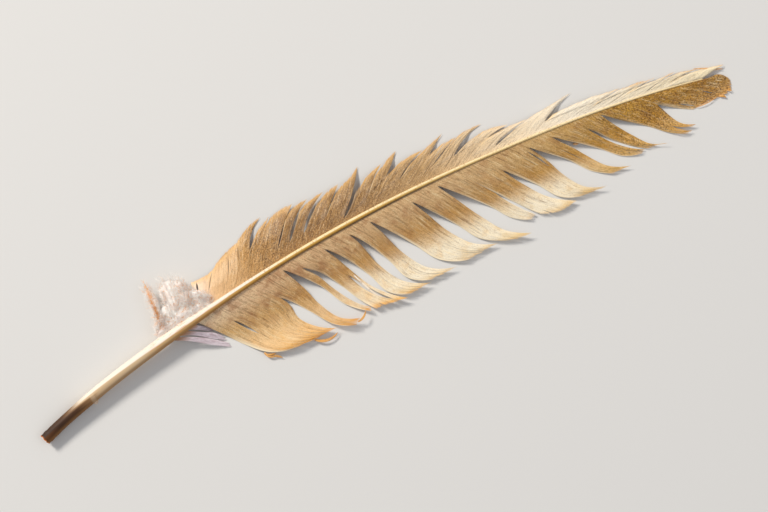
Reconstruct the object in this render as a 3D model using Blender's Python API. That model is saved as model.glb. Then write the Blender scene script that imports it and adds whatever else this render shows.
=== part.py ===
"""A turkey wing feather lying on its underside, built in millimetres and set down in metres.

+X runs along the chord from the cut quill end to the tip, +Y is the side of the narrow leading
vane, +Z is up. The vane has come unzipped into lobes, and each lobe is a thin closed plate
between two edges that leave the shaft and an outer edge that joins their ends.
"""

import math

import bmesh
import bpy
import numpy as np

MM = 0.001

# Driving dimensions, in millimetres in the feather's own plan: x from the quill end, y across.
LENGTH = 320.0
FOOTPRINT_CENTRE = (160.2, 11.2)
GAP = 0.3

# The shaft: its line in plan, and its width where the width changes.
SHAFT_LINE = [
    (0, -1.35), (30, 6.35), (60, 11.9), (92, 16.25), (120, 19.25),
    (170, 21.45), (220, 19.6), (270, 14.9), (300, 9.8), (310.3, 7.55),
]
SHAFT_WIDTH = [
    (0, 4.7), (25, 5.2), (60, 5.0), (76, 4.3), (92, 3.0),
    (120, 2.2), (150, 2.1), (212, 1.4), (262, 0.9), (310.3, 0.5),
]
RACHIS_STARTS, RACHIS_IS_DEEPEST = 55.0, 100.0
RACHIS_DEPTH_RATIO = 1.35
GROOVE_DEPTH = 0.22
BORE_DEPTH, QUILL_WALL = 7.0, 0.5
CUT_SLANT = 0.33
SHAFT_SIDES, SHAFT_RINGS = 16, 44

# The outer margins of the two sides of the vane, which every lobe's height is shaped by.
WIDE_MARGIN = [(78, -8), (105, -15), (135, -16.5), (215, -16.5), (250, -14), (285, -9.5), (321, -2.5)]
NARROW_MARGIN = [
    (80, 29), (95, 30.5), (110, 35.5), (125, 39), (165, 39), (185, 36.5),
    (210, 32.5), (235, 27.5), (260, 25), (280, 20), (302, 15.3), (321, 9.5),
]

# Heights over the surface that the feather lies on.
QUILL_HEIGHT, TIP_HEIGHT = 2.75, 1.3
ARCH_RISE = 4.6
BARB_LINE = 0.2  # how far up the shaft's side the vane leaves it, as a share of its depth
BELLY_AT = 0.62  # where the wide vane meets the surface, as a share of the way to its margin
BELLY_CLEARANCE = 0.02
WIDE_CURL = 3.4
NARROW_EDGE_HEIGHT = 0.5
NARROW_DOME = 1.1

ROOT_THICKNESS, TIP_THICKNESS = 0.8, 0.4
STRAND_THICKNESS = 0.6
DOWN_THICKNESS, DOWN_RIM_THICKNESS = 7.0, 1.0
DOWN_HEIGHT = 3.6
CELL_ACROSS, CELL_ALONG = 4.5, 4.2
DOWN_CELL = 2.2

# Each wide lobe, on the trailing side: where its two edges leave the shaft, the points its near
# and far edges pass through to their ends, and any points that round its outer edge.
WIDE_LOBES = [
    (79.4, 105.3, [(82, 9.5), (86, 4.2), (91.5, -3.2), (101, -12), (113, -14.6)],
     [(111, 9.6), (115.7, 2.8), (116.8, -4.5), (121.5, -10.4), (129.5, -15.1)], []),
    (105.8, 118.3, [(111.7, 9.6), (117.3, 3), (122.5, -4.5), (129.6, -14), (137, -17.7)],
     [(124.2, 6), (126.9, -3), (132.4, -12.3), (139.5, -15.9)], []),
    (118.8, 123.3, [(125.5, 10.6), (130.8, 3.5), (137, -8.4), (145, -15.3)],
     [(128, 12.3), (131.1, 8.5), (135.1, 0), (141.6, -10.4), (145.6, -14)], []),
    (123.8, 135.8, [(128.9, 12.6), (133.2, 8.5), (138.2, 0), (143.5, -10.2), (147.4, -15.5)],
     [(141.2, 12), (144.7, 4), (149.3, -6), (161, -17.2)], []),
    (136.4, 148.2, [(143.5, 11.5), (151.2, -2.5), (155.3, -12), (163, -16.4)],
     [(152.6, 13), (156.3, 0), (162.3, -10.5), (172, -16.2)], []),
    (148.8, 158.8, [(154.4, 13), (160.9, 0), (165, -10.4), (173.6, -15.2)],
     [(163, 12.5), (167.3, 0), (173.6, -10), (184.5, -15.4)], []),
    (159.4, 177.2, [(166.2, 11.5), (173.4, 0.5), (179.7, -9.3), (190, -14.8)],
     [(182.6, 11.5), (188.4, -1), (195.6, -10.2), (204.3, -14.3)], []),
    (177.8, 190.2, [(184.3, 12), (193, -0.5), (198.8, -9.6), (205.2, -13.7)],
     [(195.6, 12), (202.7, -1), (210.3, -12), (218.5, -16.8)], [(211, -15.9)]),
    (190.8, 201.2, [(198.2, 12.5), (208.9, 0), (214.8, -8), (221.3, -12)],
     [(208.6, 9.6), (212, 5), (217.2, -3), (223.6, -10.9)], []),
    (201.8, 212.2, [(209.3, 9.9), (212.8, 5.2), (219, -3.4), (226, -12)],
     [(218.2, 12.5), (223.9, 3.5), (231.6, -7), (241, -13.6)], [(232, -14)]),
    (212.8, 229.7, [(220.3, 11), (230, -0.5), (236.3, -9.3), (243.5, -12.8)],
     [(235.2, 11), (238.4, 5), (240.7, -0.5), (247.5, -10.5), (255, -13.8)], []),
    (230.4, 240.2, [(236.6, 12), (245.5, 3.5), (253.2, -6), (260, -10.2)],
     [(246, 11), (249.3, 7), (253, 1.5), (260, -7.2), (267.7, -10.9)], []),
    (240.8, 252.2, [(248.2, 11), (254.4, 6), (260, 1), (267.3, -5.9), (274.5, -8.2)],
     [(258.9, 9.5), (266.2, 0.3), (271, -4.2), (276, -7.5)], []),
    (252.8, 264.2, [(260, 9.5), (267.3, 0.6), (272.2, -4), (277.5, -7.6)],
     [(267.5, 10), (270.7, 5), (273.8, 0.5), (280, -7), (286.2, -9.5)], []),
    (264.8, 282.7, [(271.2, 9), (281.4, 0.5), (289, -6.3), (295, -9.3)],
     [(289.5, 4.8), (291.6, 0), (294, -4.3), (299.3, -8.2)], []),
    (283.3, 309.6, [(290, 6), (295.5, 1.9), (301.5, -1.9)], [(312.6, 6.2), (316.3, 6.1), (319, 4.7)],
     [(308, -1.9), (314.5, -2.4), (319.3, -1.6), (320.5, 1.5)]),
]

# The same for each narrow lobe, on the leading side. Most end in a point that leans to the tip.
NARROW_LOBES = [
    (81.6, 85.2, [(83, 22), (83.8, 29)], [(87, 19.8), (93.6, 29.6)], [(88.5, 28.8)]),
    (85.8, 99.4, [(87.7, 20), (94.3, 29.8)], [(103.5, 24.6), (108, 35.2)], [(101, 33.2)]),
    (100, 103.5, [(104.2, 24.6), (108.8, 35.5)], [(111.3, 29.8), (114.3, 34.8), (121.4, 40.1)],
     [(114, 38.3)]),
    (104, 108.5, [(112.1, 29.6)], [(112.4, 25), (117.8, 31.8), (124.7, 38.7)], [(118.3, 35.6)]),
    (109, 117.8, [(113.1, 25), (120.6, 34)], [(121.9, 25.1), (128.2, 32.3), (135.7, 38.8)],
     [(124.5, 37.4)]),
    (118.3, 123.4, [(123.1, 25.4), (131.2, 34.9)], [(127.2, 25), (134.6, 33.3), (142, 38)],
     [(135.5, 37.2)]),
    (124, 130.3, [(128.1, 25), (137.3, 34.7)], [(133.6, 25), (141.6, 33.2), (149.3, 37.4)],
     [(142, 36.7)]),
    (130.9, 139.3, [(134.4, 25), (144, 33.3)], [(143, 25.4), (150, 32), (156.2, 37.6)],
     [(149.3, 36.1)]),
    (139.9, 149, [(143.8, 25.4), (151.5, 32.2)], [(151.5, 23.6), (158.9, 30.4), (166.9, 40.4)],
     [(157, 36.2), (162, 37.8)]),
    (149.6, 157.6, [(152.6, 23.6), (160.9, 30.2)], [(163, 26), (169.5, 32), (176, 36.8)],
     [(166.5, 34)]),
    (158.2, 163, [(163.7, 26), (170.8, 32.6)], [(166.5, 24.7), (174, 30), (183.8, 39)],
     [(176, 35.8)]),
    (163.6, 171.5, [(167.3, 24.7), (175.4, 30.5)], [(176, 25.3), (185, 31), (194, 34.1)],
     [(183, 33.7)]),
    (172.1, 180, [(176.8, 25.3), (186.5, 31)], [(183, 23.7), (192, 29.3), (204.3, 36.6)],
     [(196, 34.4)]),
    (180.6, 186.5, [(184.2, 23.7), (190.4, 27.8), (196, 30.8)],
     [(191.5, 25), (199, 29), (208.5, 32.6)], [(201.5, 32.5)]),
    (187.1, 196.5, [(192.3, 24.8), (201.5, 29.2)], [(203.5, 25.9), (210.3, 30), (220.4, 32.8)],
     [(212.5, 33.1)]),
    (197.1, 207, [(204.5, 25.7), (211, 28.2)], [(213, 24.1), (220, 26.5), (230, 27.7)],
     [(220, 29.6)]),
    (207.6, 217, [(213.8, 23.9), (220.5, 26)], [(225, 23.6), (231, 24.8), (238, 25.7)],
     [(230, 26.6)]),
    (217.6, 236, [(226, 22.9), (232.5, 24.5)], [(243.5, 21.8), (251, 24.9), (259.7, 27.5)],
     [(240, 26.1), (250, 26.7)]),
    (236.7, 256, [(244.5, 21.4), (249, 22.7)], [(260, 17.9), (268, 19), (278, 19.7)],
     [(262, 22.2)]),
    (256.7, 269, [(261, 17.5), (269, 18.5)], [(275, 16.1), (284, 17.1), (293, 17.1)],
     [(281, 19)]),
    (269.7, 282.2, [(276, 15.7), (284.5, 16.5)], [(287, 13.9), (292, 14.6), (302, 15.3)],
     [(294, 16)]),
    (282.9, 291, [(287.7, 13.3), (292, 13.9), (296, 14.2)],
     [(295.5, 12.4), (302, 13.1), (310, 12.3)], [(302.5, 14.4)]),
    (291.7, 308.6, [(296.3, 11.9), (303, 12.4)], [(313, 8.1), (316.5, 8.7), (320.5, 8.9)],
     [(311, 11.5)]),
]

# The pale strands at the foot of the wide vane, and the two tufts of down on the other side.
BASE_STRANDS = [
    (67, 69, [(74, 6.7), (79.5, 2.4), (86.7, -2.4)], [(75.8, 7.7), (81.3, 3.8), (86.4, -0.4)], []),
    (70.2, 73.6, [(76, 8.5), (80.5, 4.9), (86.3, 1)], [(78.9, 8.5), (83, 6), (86, 2.6)], []),
    (74.6, 77.6, [(79.6, 9), (82.6, 6.8)], [(80.9, 9.8), (83.1, 7.3)], []),
]
DOWN_TUFTS = {
    "near": (61.5, 67.6, [(64.2, 20.5), (64.9, 26), (63.2, 35.8)], [(68.7, 23), (68.6, 34)],
             [(66, 37.3)]),
    "far": (68.4, 80.8, [(69.5, 23), (69.9, 33.4)], [(82.2, 22), (83, 29.2)],
            [(74.3, 37.3), (79.3, 34.2)]),
}

QUILL_IVORY = (0.78, 0.62, 0.42)
VANE_GOLD = (0.42, 0.24, 0.09)
VANE_BROWN = (0.30, 0.17, 0.07)
STRAND_PALE = (0.80, 0.70, 0.64)
DOWN_PALE = (0.86, 0.72, 0.62)


def clear_scene():
    for thing in list(bpy.data.objects):
        bpy.data.objects.remove(thing, do_unlink=True)


def material(name, colour, roughness):
    finish = bpy.data.materials.new(name)
    finish.use_nodes = True
    finish.diffuse_color = (*colour, 1)
    shader = finish.node_tree.nodes["Principled BSDF"]
    shader.inputs["Base Color"].default_value = (*colour, 1)
    shader.inputs["Roughness"].default_value = roughness
    shader.inputs["Metallic"].default_value = 0
    return finish


def hermite(points, where):
    """Values at the given stations of a smooth curve through the points (station, value...)."""
    points = np.array(points, float)
    stations, values = points[:, 0], points[:, 1:]
    slopes = np.gradient(values, stations, axis=0, edge_order=min(2, len(points) - 1))
    where = np.asarray(where, float)
    i = np.clip(np.searchsorted(stations, where, side="right") - 1, 0, len(stations) - 2)
    span = (stations[i + 1] - stations[i])[..., None]
    t = (where - stations[i])[..., None] / span
    return (
        (2 * t**3 - 3 * t**2 + 1) * values[i]
        + (t**3 - 2 * t**2 + t) * span * slopes[i]
        + (3 * t**2 - 2 * t**3) * values[i + 1]
        + (t**3 - t**2) * span * slopes[i + 1]
    )


def reach_along(points):
    return np.concatenate([[0], np.cumsum(np.linalg.norm(np.diff(points, axis=0), axis=1))])


def smooth_line(points, count):
    """count points, evenly spaced, on a smooth curve through the given ones."""
    points = np.array(points, float)
    reach = reach_along(points)
    fine = hermite(np.column_stack([reach, points]), np.linspace(0, reach[-1], 20 * len(points)))
    run = reach_along(fine)
    even = np.linspace(0, run[-1], count)
    return np.column_stack([np.interp(even, run, fine[:, k]) for k in range(fine.shape[1])])


def shaft_y(x):
    return hermite(SHAFT_LINE, x)[..., 0]


def shaft_width(x):
    stations, widths = zip(*SHAFT_WIDTH)
    return np.interp(x, stations, widths)


def shaft_depth(x):
    """The quill is round; the rachis is deeper than it is wide."""
    share = np.clip((x - RACHIS_STARTS) / (RACHIS_IS_DEEPEST - RACHIS_STARTS), 0, 1)
    return shaft_width(x) * (1 + (RACHIS_DEPTH_RATIO - 1) * share)


def shaft_height(x):
    share = np.asarray(x, float) / LENGTH
    return QUILL_HEIGHT + (TIP_HEIGHT - QUILL_HEIGHT) * share + ARCH_RISE * np.sin(math.pi * share)


def root_line(xs, side):
    """Where barbs leave the shaft at the given x: plan points just clear of its side."""
    return np.column_stack([xs, shaft_y(xs) + side * (shaft_width(xs) / 2 + GAP)])


def mesh_object(name, points, faces, finish):
    mesh = bpy.data.meshes.new(name)
    mesh.from_pydata([tuple(p) for p in np.asarray(points) * MM], [], faces)
    shell = bmesh.new()
    shell.from_mesh(mesh)
    bmesh.ops.recalc_face_normals(shell, faces=shell.faces)
    shell.to_mesh(mesh)
    shell.free()
    mesh.materials.append(finish)
    mesh.shade_smooth()
    mesh.set_sharp_from_angle(angle=math.radians(40))
    made = bpy.data.objects.new(name, mesh)
    bpy.context.collection.objects.link(made)
    return made


def plate(name, middle, thickness, finish):
    """A closed plate over a grid of middle points, across by along, with a thickness at each."""
    across, along = middle.shape[:2]
    lift = np.zeros_like(middle)
    lift[..., 2] = thickness / 2
    points = np.concatenate([(middle + lift).reshape(-1, 3), (middle - lift).reshape(-1, 3)])
    under = across * along

    def at(i, j):
        return i * along + j

    faces = []
    for i in range(across - 1):
        for j in range(along - 1):
            quad = [at(i, j), at(i, j + 1), at(i + 1, j + 1), at(i + 1, j)]
            faces += [quad, [under + k for k in reversed(quad)]]
    rim = (
        [at(0, j) for j in range(along)]
        + [at(i, along - 1) for i in range(1, across)]
        + [at(across - 1, j) for j in reversed(range(along - 1))]
        + [at(i, 0) for i in reversed(range(1, across - 1))]
    )
    faces += [[b, a, under + a, under + b] for a, b in zip(rim, rim[1:] + rim[:1])]
    return mesh_object(name, points, faces, finish)


def patch(roots, near, far, rounding, side, cells=(CELL_ACROSS, CELL_ALONG)):
    """A lobe's plan as a grid, across by along, between its two edges, its root and its end."""
    first, last = root_line(np.array(roots), side)
    near_length = reach_along(np.array([first, *near]))[-1]
    far_length = reach_along(np.array([last, *far]))[-1]
    end_width = reach_along(np.array([near[-1], *rounding, far[-1]]))[-1]
    width = max(roots[1] - roots[0], end_width)
    across = max(3, 1 + round(width / cells[0]))
    along = 1 + max(3, round(max(near_length, far_length) / cells[1]))
    near_edge = smooth_line([first, *near], along)
    far_edge = smooth_line([last, *far], along)
    outer = smooth_line([near_edge[-1], *rounding, far_edge[-1]], across)
    root = root_line(np.linspace(*roots, across), side)
    u = np.linspace(0, 1, across)[:, None, None]
    v = np.linspace(0, 1, along)[None, :, None]
    plan = (1 - u) * near_edge[None] + u * far_edge[None]
    plan = plan + (1 - v) ** 2 * (root - plan[:, 0])[:, None]
    plan = plan + v**2 * (outer - plan[:, -1])[:, None]
    return plan, np.linspace(*roots, across)[:, None], v[..., 0]


def smoothstep(t):
    t = np.clip(t, 0, 1)
    return t * t * (3 - 2 * t)


def share_out(x, y, margin):
    """How far out from the shaft plan points are, as a share of the way to the vane's margin."""
    start = shaft_y(np.minimum(x, SHAFT_LINE[-1][0]))
    return np.clip((y - start) / (hermite(margin, x)[..., 0] - start), 0, 1)


def vane_thickness(share):
    return ROOT_THICKNESS + (TIP_THICKNESS - ROOT_THICKNESS) * smoothstep(share / BELLY_AT)


def vane_root_height(x):
    return shaft_height(x) + BARB_LINE * shaft_depth(x) / 2


def wide_height(x, share):
    """Down from the shaft to a belly on the surface, then curling up to the margin."""
    belly = TIP_THICKNESS / 2 + BELLY_CLEARANCE
    fall = smoothstep(share / BELLY_AT)
    curl = WIDE_CURL * np.clip((share - BELLY_AT) / (1 - BELLY_AT), 0, 1) ** 2
    return vane_root_height(x) * (1 - fall) + belly * fall + curl * (1 - 0.75 * (x / LENGTH) ** 3)


def narrow_height(x, share):
    """A low dome from the shaft to a margin just over the surface."""
    dome = NARROW_DOME * np.sin(math.pi * share) * (1 - 0.6 * x / LENGTH)
    return vane_root_height(x) * (1 - share) + NARROW_EDGE_HEIGHT * share + dome


def make_lobes(prefix, lobes, side, margin, height, finish):
    for number, (first, last, near, far, rounding) in enumerate(lobes, 1):
        plan, _, _ = patch((first, last), near, far, rounding, side)
        share = share_out(plan[..., 0], plan[..., 1], margin)
        middle = np.dstack([plan, height(plan[..., 0], share)])
        plate(f"{prefix}_{number:02d}", middle, vane_thickness(share), finish)


def make_strands(finish):
    for number, (first, last, near, far, rounding) in enumerate(BASE_STRANDS, 1):
        plan, x, v = patch((first, last), near, far, rounding, -1)
        z = vane_root_height(x) * (1 - v) + (STRAND_THICKNESS / 2 + BELLY_CLEARANCE) * v
        thickness = np.full(z.shape, STRAND_THICKNESS)
        plate(f"base_strand_{number}", np.dstack([plan, z]), thickness, finish)


def make_down(finish):
    """Each tuft as one soft-edged pillow that reaches the tips of its down."""
    for name, (first, last, near, far, rounding) in DOWN_TUFTS.items():
        plan, x, v = patch((first, last), near, far, rounding, 1, (DOWN_CELL, DOWN_CELL))
        u = np.linspace(0, 1, plan.shape[0])[:, None]
        swell = np.sqrt(np.clip(1 - (2 * u - 1) ** 2, 0, 1)) * np.sqrt(np.clip(1 - v**3, 0, 1))
        thickness = DOWN_RIM_THICKNESS + (DOWN_THICKNESS - DOWN_RIM_THICKNESS) * swell
        z = np.full(thickness.shape, DOWN_HEIGHT)
        plate(f"down_tuft_{name}", np.dstack([plan, z]), thickness, finish)


def shaft_ring(x, inset=0.0):
    """One cross-section of the shaft: an oval, with a groove along the rachis's underside."""
    y, z = float(shaft_y(x)), float(shaft_height(x))
    half_width = float(shaft_width(x)) / 2 - inset
    half_depth = float(shaft_depth(x)) / 2 - inset
    groove = GROOVE_DEPTH * smoothstep((x - RACHIS_STARTS) / 30) * min(1.0, half_width / 1.2)
    ring = []
    for k in range(SHAFT_SIDES):
        turn = 2 * math.pi * k / SHAFT_SIDES - math.pi / 2
        drop = groove if k == 0 else 0.0
        across, up = half_width * math.cos(turn), half_depth * math.sin(turn) + drop
        slant = CUT_SLANT * max(0.0, 1 - x / (2 * BORE_DEPTH))
        ring.append((x + slant * (half_width - across), y + across, z + up))
    return ring


def make_shaft(finish):
    """Quill and rachis in one, tapering to the tip, with the hollow of the cut quill end."""
    stations = np.linspace(0, SHAFT_LINE[-1][0], SHAFT_RINGS)
    rings = [shaft_ring(BORE_DEPTH, QUILL_WALL), shaft_ring(0.0, QUILL_WALL)]
    rings += [shaft_ring(x) for x in stations]
    points = [point for ring in rings for point in ring]
    faces = [list(range(SHAFT_SIDES))]
    for i in range(len(rings) - 1):
        for k in range(SHAFT_SIDES):
            a, b = i * SHAFT_SIDES + k, i * SHAFT_SIDES + (k + 1) % SHAFT_SIDES
            faces.append([a, a + SHAFT_SIDES, b + SHAFT_SIDES, b])
    last = (len(rings) - 1) * SHAFT_SIDES
    faces.append([last + k for k in reversed(range(SHAFT_SIDES))])
    mesh_object("shaft", points, faces, finish)


def set_down():
    """Puts the middle of the footprint at the origin, with everything held by one empty."""
    holder = bpy.data.objects.new("feather", None)
    bpy.context.collection.objects.link(holder)
    for piece in bpy.data.objects:
        if piece.type == "MESH":
            piece.parent = holder
    holder.location = (-FOOTPRINT_CENTRE[0] * MM, -FOOTPRINT_CENTRE[1] * MM, 0)


def main():
    clear_scene()
    make_shaft(material("quill", QUILL_IVORY, 0.35))
    gold, brown = material("wide_vane", VANE_GOLD, 0.6), material("narrow_vane", VANE_BROWN, 0.6)
    make_lobes("wide_lobe", WIDE_LOBES, -1, WIDE_MARGIN, wide_height, gold)
    make_lobes("narrow_lobe", NARROW_LOBES, 1, NARROW_MARGIN, narrow_height, brown)
    make_strands(material("strand", STRAND_PALE, 0.7))
    make_down(material("down", DOWN_PALE, 0.9))
    set_down()


main()
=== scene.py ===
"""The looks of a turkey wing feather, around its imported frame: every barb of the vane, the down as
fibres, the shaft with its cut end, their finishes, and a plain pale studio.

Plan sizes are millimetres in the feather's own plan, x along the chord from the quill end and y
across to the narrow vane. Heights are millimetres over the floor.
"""

import math

import bpy
import numpy as np
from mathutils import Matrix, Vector


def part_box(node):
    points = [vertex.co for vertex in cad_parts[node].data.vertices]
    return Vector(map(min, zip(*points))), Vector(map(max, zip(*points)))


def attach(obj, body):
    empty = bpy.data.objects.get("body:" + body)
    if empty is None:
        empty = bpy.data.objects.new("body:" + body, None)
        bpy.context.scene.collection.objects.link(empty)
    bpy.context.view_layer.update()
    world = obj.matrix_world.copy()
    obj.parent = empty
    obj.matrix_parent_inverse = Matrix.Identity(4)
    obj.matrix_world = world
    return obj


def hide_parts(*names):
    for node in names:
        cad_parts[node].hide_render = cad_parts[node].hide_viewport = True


MM = 0.001

LENGTH = 320.0
SHAFT_LINE = [
    (0, -1.35), (30, 6.35), (60, 11.9), (92, 16.25), (120, 19.25),
    (170, 21.45), (220, 19.6), (270, 14.9), (300, 9.8), (310.3, 7.55),
]
SHAFT_WIDTH = [
    (0, 4.7), (25, 5.2), (60, 5.0), (76, 4.3), (92, 3.0),
    (120, 2.2), (150, 2.1), (212, 1.4), (262, 0.9), (310.3, 0.5),
]
WIDE_MARGIN = [(78, -8), (105, -15), (135, -16.5), (215, -16.5), (250, -14), (285, -9.5), (321, -2.5)]
NARROW_MARGIN = [
    (80, 29), (95, 30.5), (110, 35.5), (125, 39), (165, 39), (185, 36.5),
    (210, 32.5), (235, 27.5), (260, 25), (280, 20), (302, 15.3), (321, 9.5),
]
RACHIS_STARTS, RACHIS_IS_DEEPEST = 55.0, 100.0
RACHIS_DEPTH_RATIO = 1.35
QUILL_HEIGHT, TIP_HEIGHT = 2.75, 1.3
ARCH_RISE = 4.6
BARB_LINE = 0.2
BELLY_AT = 0.62
BELLY_HEIGHT = 0.22
WIDE_CURL = 3.4
NARROW_EDGE_HEIGHT = 0.5
NARROW_DOME = 1.1

# The lobes, as in the frame: where the two edges leave the shaft, the points that the near and
# the far edge pass through, and the points that round the outer edge.
WIDE_LOBES = [
    (79.4, 105.3, [(82, 9.5), (86, 4.2), (91.5, -3.2), (101, -12), (113, -14.6)],
     [(111, 9.6), (115.7, 2.8), (116.8, -4.5), (121.5, -10.4), (129.5, -15.1)], []),
    (105.8, 118.3, [(111.7, 9.6), (117.3, 3), (122.5, -4.5), (129.6, -14), (137, -17.7)],
     [(124.2, 6), (126.9, -3), (132.4, -12.3), (139.5, -15.9)], []),
    (118.8, 123.3, [(125.5, 10.6), (130.8, 3.5), (137, -8.4), (145, -15.3)],
     [(128, 12.3), (131.1, 8.5), (135.1, 0), (141.6, -10.4), (145.6, -14)], []),
    (123.8, 135.8, [(128.9, 12.6), (133.2, 8.5), (138.2, 0), (143.5, -10.2), (147.4, -15.5)],
     [(141.2, 12), (144.7, 4), (149.3, -6), (161, -17.2)], []),
    (136.4, 148.2, [(143.5, 11.5), (151.2, -2.5), (155.3, -12), (163, -16.4)],
     [(152.6, 13), (156.3, 0), (162.3, -10.5), (172, -16.2)], []),
    (148.8, 158.8, [(154.4, 13), (160.9, 0), (165, -10.4), (173.6, -15.2)],
     [(163, 12.5), (167.3, 0), (173.6, -10), (184.5, -15.4)], []),
    (159.4, 177.2, [(166.2, 11.5), (173.4, 0.5), (179.7, -9.3), (190, -14.8)],
     [(182.6, 11.5), (188.4, -1), (195.6, -10.2), (204.3, -14.3)], []),
    (177.8, 190.2, [(184.3, 12), (193, -0.5), (198.8, -9.6), (205.2, -13.7)],
     [(195.6, 12), (202.7, -1), (210.3, -12), (218.5, -16.8)], [(211, -15.9)]),
    (190.8, 201.2, [(198.2, 12.5), (208.9, 0), (214.8, -8), (221.3, -12)],
     [(208.6, 9.6), (212, 5), (217.2, -3), (223.6, -10.9)], []),
    (201.8, 212.2, [(209.3, 9.9), (212.8, 5.2), (219, -3.4), (226, -12)],
     [(218.2, 12.5), (223.9, 3.5), (231.6, -7), (241, -13.6)], [(232, -14)]),
    (212.8, 229.7, [(220.3, 11), (230, -0.5), (236.3, -9.3), (243.5, -12.8)],
     [(235.2, 11), (238.4, 5), (240.7, -0.5), (247.5, -10.5), (255, -13.8)], []),
    (230.4, 240.2, [(236.6, 12), (245.5, 3.5), (253.2, -6), (260, -10.2)],
     [(246, 11), (249.3, 7), (253, 1.5), (260, -7.2), (267.7, -10.9)], []),
    (240.8, 252.2, [(248.2, 11), (254.4, 6), (260, 1), (267.3, -5.9), (274.5, -8.2)],
     [(258.9, 9.5), (266.2, 0.3), (271, -4.2), (276, -7.5)], []),
    (252.8, 264.2, [(260, 9.5), (267.3, 0.6), (272.2, -4), (277.5, -7.6)],
     [(267.5, 10), (270.7, 5), (273.8, 0.5), (280, -7), (286.2, -9.5)], []),
    (264.8, 282.7, [(271.2, 9), (281.4, 0.5), (289, -6.3), (295, -9.3)],
     [(289.5, 4.8), (291.6, 0), (294, -4.3), (299.3, -8.2)], []),
    (283.3, 310, [(290, 6), (295.5, 1.9), (301.5, -1.9)], [(312.6, 6.9), (316.3, 6.5), (319, 4.9)],
     [(308, -1.9), (314.5, -2.4), (319, -1.8), (320.5, 1.5)]),
]
NARROW_LOBES = [
    (81.6, 85.2, [(83, 22), (83.8, 29)], [(87, 19.8), (93.6, 29.6)], [(88.5, 28.8)]),
    (85.8, 99.4, [(87.7, 20), (94.3, 29.8)], [(103.5, 24.6), (108, 35.2)], [(101, 33.2)]),
    (100, 103.5, [(104.2, 24.6), (108.8, 35.5)], [(111.3, 29.8), (114.3, 34.8), (121.4, 40.1)],
     [(114, 38.3)]),
    (104, 108.5, [(112.1, 29.6)], [(112.4, 25), (117.8, 31.8), (124.7, 38.7)], [(118.3, 35.6)]),
    (109, 117.8, [(113.1, 25), (120.6, 34)], [(121.9, 25.1), (128.2, 32.3), (135.7, 38.8)],
     [(124.5, 37.4)]),
    (118.3, 123.4, [(123.1, 25.4), (131.2, 34.9)], [(127.2, 25), (134.6, 33.3), (142, 38)],
     [(135.5, 37.2)]),
    (124, 130.3, [(128.1, 25), (137.3, 34.7)], [(133.6, 25), (141.6, 33.2), (149.3, 37.4)],
     [(142, 36.7)]),
    (130.9, 139.3, [(134.4, 25), (144, 33.3)], [(143, 25.4), (150, 32), (156.2, 37.6)],
     [(149.3, 36.1)]),
    (139.9, 149, [(143.8, 25.4), (151.5, 32.2)], [(151.5, 23.6), (158.9, 30.4), (166.9, 40.4)],
     [(157, 36.2), (162, 37.8)]),
    (149.6, 157.6, [(152.6, 23.6), (160.9, 30.2)], [(163, 26), (169.5, 32), (176, 36.8)],
     [(166.5, 34)]),
    (158.2, 163, [(163.7, 26), (170.8, 32.6)], [(166.5, 24.7), (174, 30), (183.8, 39)],
     [(176, 35.8)]),
    (163.6, 171.5, [(167.3, 24.7), (175.4, 30.5)], [(176, 25.3), (185, 31), (194, 34.1)],
     [(183, 33.7)]),
    (172.1, 180, [(176.8, 25.3), (186.5, 31)], [(183, 23.7), (192, 29.3), (204.3, 36.6)],
     [(196, 34.4)]),
    (180.6, 186.5, [(184.2, 23.7), (190.4, 27.8), (196, 30.8)],
     [(191.5, 25), (199, 29), (208.5, 32.6)], [(201.5, 32.5)]),
    (187.1, 196.5, [(192.3, 24.8), (201.5, 29.2)], [(203.5, 25.9), (210.3, 30), (220.4, 32.8)],
     [(212.5, 33.1)]),
    (197.1, 207, [(204.5, 25.7), (211, 28.2)], [(213, 24.1), (220, 26.5), (230, 27.7)],
     [(220, 29.6)]),
    (207.6, 217, [(213.8, 23.9), (220.5, 26)], [(225, 23.6), (231, 24.8), (238, 25.7)],
     [(230, 26.6)]),
    (217.6, 236, [(226, 22.9), (232.5, 24.5)], [(243.5, 21.8), (251, 24.9), (259.7, 27.5)],
     [(240, 26.1), (250, 26.7)]),
    (236.7, 256, [(244.5, 21.4), (249, 22.7)], [(260, 17.9), (268, 19), (278, 19.7)],
     [(262, 22.2)]),
    (256.7, 269, [(261, 17.5), (269, 18.5)], [(275, 16.1), (284, 17.1), (293, 17.1)],
     [(281, 19)]),
    (269.7, 282.2, [(276, 15.7), (284.5, 16.5)], [(287, 13.9), (292, 14.6), (302, 15.3)],
     [(294, 16)]),
    (282.9, 291, [(287.7, 13.3), (292, 13.9), (296, 14.2)],
     [(295.5, 12.4), (302, 13.1), (310, 12.3)], [(302.5, 14.4)]),
    (291.7, 308.6, [(296.3, 11.9), (303, 12.4)], [(313, 8.1), (316.5, 8.7), (320.5, 8.9)],
     [(311, 11.5)]),
]
BASE_STRANDS = [
    (67, 69, [(74, 6.7), (79.5, 2.4), (86.7, -2.4)], [(75.8, 7.7), (81.3, 3.8), (86.4, -0.4)], []),
    (70.2, 73.6, [(76, 8.5), (80.5, 4.9), (86.3, 1)], [(78.9, 8.5), (83, 6), (86, 2.6)], []),
    (74.6, 77.6, [(79.6, 9), (82.6, 6.8)], [(80.9, 9.8), (83.1, 7.3)], []),
]

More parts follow.
